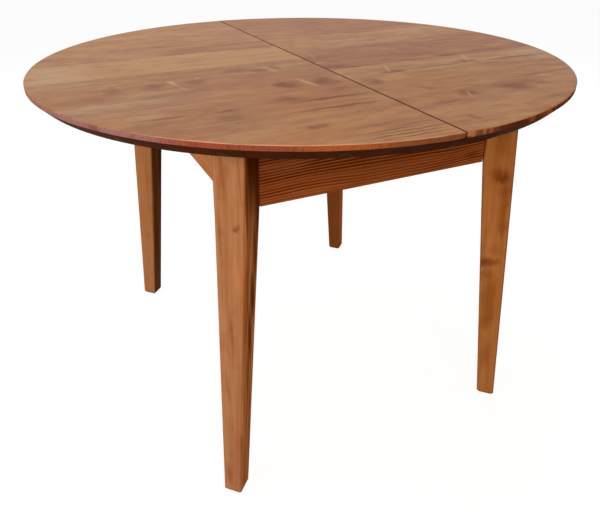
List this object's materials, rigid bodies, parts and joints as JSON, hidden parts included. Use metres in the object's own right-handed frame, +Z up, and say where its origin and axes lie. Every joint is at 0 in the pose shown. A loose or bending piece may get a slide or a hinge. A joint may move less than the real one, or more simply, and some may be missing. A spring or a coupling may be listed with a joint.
{
  "type": "extendable dining table",
  "caption": "Round pine dining table with splayed tapered legs: its halves slide apart on geared runners for a folded leaf stored inside.",
  "frame": {"origin": "on the floor under the middle of the closed table", "axes": "+X the way the right half opens, +Y along the seam between the halves, +Z up"},
  "size_m": [1.1, 1.1, 0.75],
  "materials": {
    "pine_top": "stained, satin varnish",
    "pine_frame": "stained, satin varnish",
    "beech": "planed, waxed",
    "steel": "zinc plated",
    "nylon": "moulded",
    "felt": "pressed felt"
  },
  "bodies": {
    "frame": {"apron_back": "pine_frame", "apron_front": "pine_frame", "apron_left": "pine_frame", "apron_right": "pine_frame", "corner_block_back_left": "pine_frame", "corner_block_back_right": "pine_frame", "corner_block_front_left": "pine_frame", "corner_block_front_right": "pine_frame", "cross_rail_left": "pine_frame", "cross_rail_right": "pine_frame", "foot_pad_back_left": "felt", "foot_pad_back_right": "felt", "foot_pad_front_left": "felt", "foot_pad_front_right": "felt", "guide_rail_back": "beech", "guide_rail_front": "beech", "leaf_hinge_left": "steel", "leaf_hinge_right": "steel", "leaf_panel_lower": "pine_top", "leaf_panel_upper": "pine_top", "leg_back_left": "pine_frame", "leg_back_right": "pine_frame", "leg_bolt_back_left_lower": "steel", "leg_bolt_back_left_upper": "steel", "leg_bolt_back_right_lower": "steel", "leg_bolt_back_right_upper": "steel", "leg_bolt_front_left_lower": "steel", "leg_bolt_front_left_upper": "steel", "leg_bolt_front_right_lower": "steel", "leg_bolt_front_right_upper": "steel", "leg_front_left": "pine_frame", "leg_front_right": "pine_frame", "pinion_axle_back": "steel", "pinion_axle_front": "steel"},
    "right_half": {"batten_right": "pine_frame", "catch_keeper_back": "steel", "catch_keeper_front": "steel", "rack_right_inner": "nylon", "rack_right_outer": "nylon", "runner_right_inner": "beech", "runner_right_outer": "beech", "top_right": "pine_top"},
    "left_half": {"batten_left": "pine_frame", "catch_pivot_back": "steel", "catch_pivot_front": "steel", "rack_left_inner": "nylon", "rack_left_outer": "nylon", "runner_left_inner": "beech", "runner_left_outer": "beech", "seam_pin_1": "beech", "seam_pin_2": "beech", "seam_pin_3": "beech", "seam_pin_4": "beech", "top_left": "pine_top"},
    "pinion_front": {"pinion_front": "nylon"},
    "pinion_back": {"pinion_back": "nylon"},
    "catch_front": {"catch_front": "steel"},
    "catch_back": {"catch_back": "steel"}
  },
  "joints": [
    {"name": "right_half_slide", "type": "slide", "parent": "frame", "child": "right_half", "axis": [1, 0, 0], "range_m": [0, 0.2]},
    {"name": "left_half_slide", "type": "slide", "parent": "frame", "child": "left_half", "axis": [-1, 0, 0], "range_m": [0, 0.2]},
    {"name": "pinion_front_spin", "type": "hinge", "parent": "frame", "child": "pinion_front", "pos_m": [0, -0.278, 0.694], "axis": [0, 0, 1], "range_deg": [0, 960]},
    {"name": "pinion_back_spin", "type": "hinge", "parent": "frame", "child": "pinion_back", "pos_m": [0, 0.278, 0.694], "axis": [0, 0, 1], "range_deg": [0, 960]},
    {"name": "catch_front_turn", "type": "hinge", "parent": "left_half", "child": "catch_front", "pos_m": [-0.022, -0.43, 0.72], "axis": [0, 0, -1], "range_deg": [0, 90]},
    {"name": "catch_back_turn", "type": "hinge", "parent": "left_half", "child": "catch_back", "pos_m": [-0.022, 0.43, 0.72], "axis": [0, 0, 1], "range_deg": [0, 90]}
  ],
  "couplings": [
    {"joint": "left_half_slide", "follows": "right_half_slide", "ratio": 1},
    {"joint": "pinion_front_spin", "follows": "right_half_slide", "rad_per_m": 83.333},
    {"joint": "pinion_back_spin", "follows": "right_half_slide", "rad_per_m": 83.333}
  ]
}
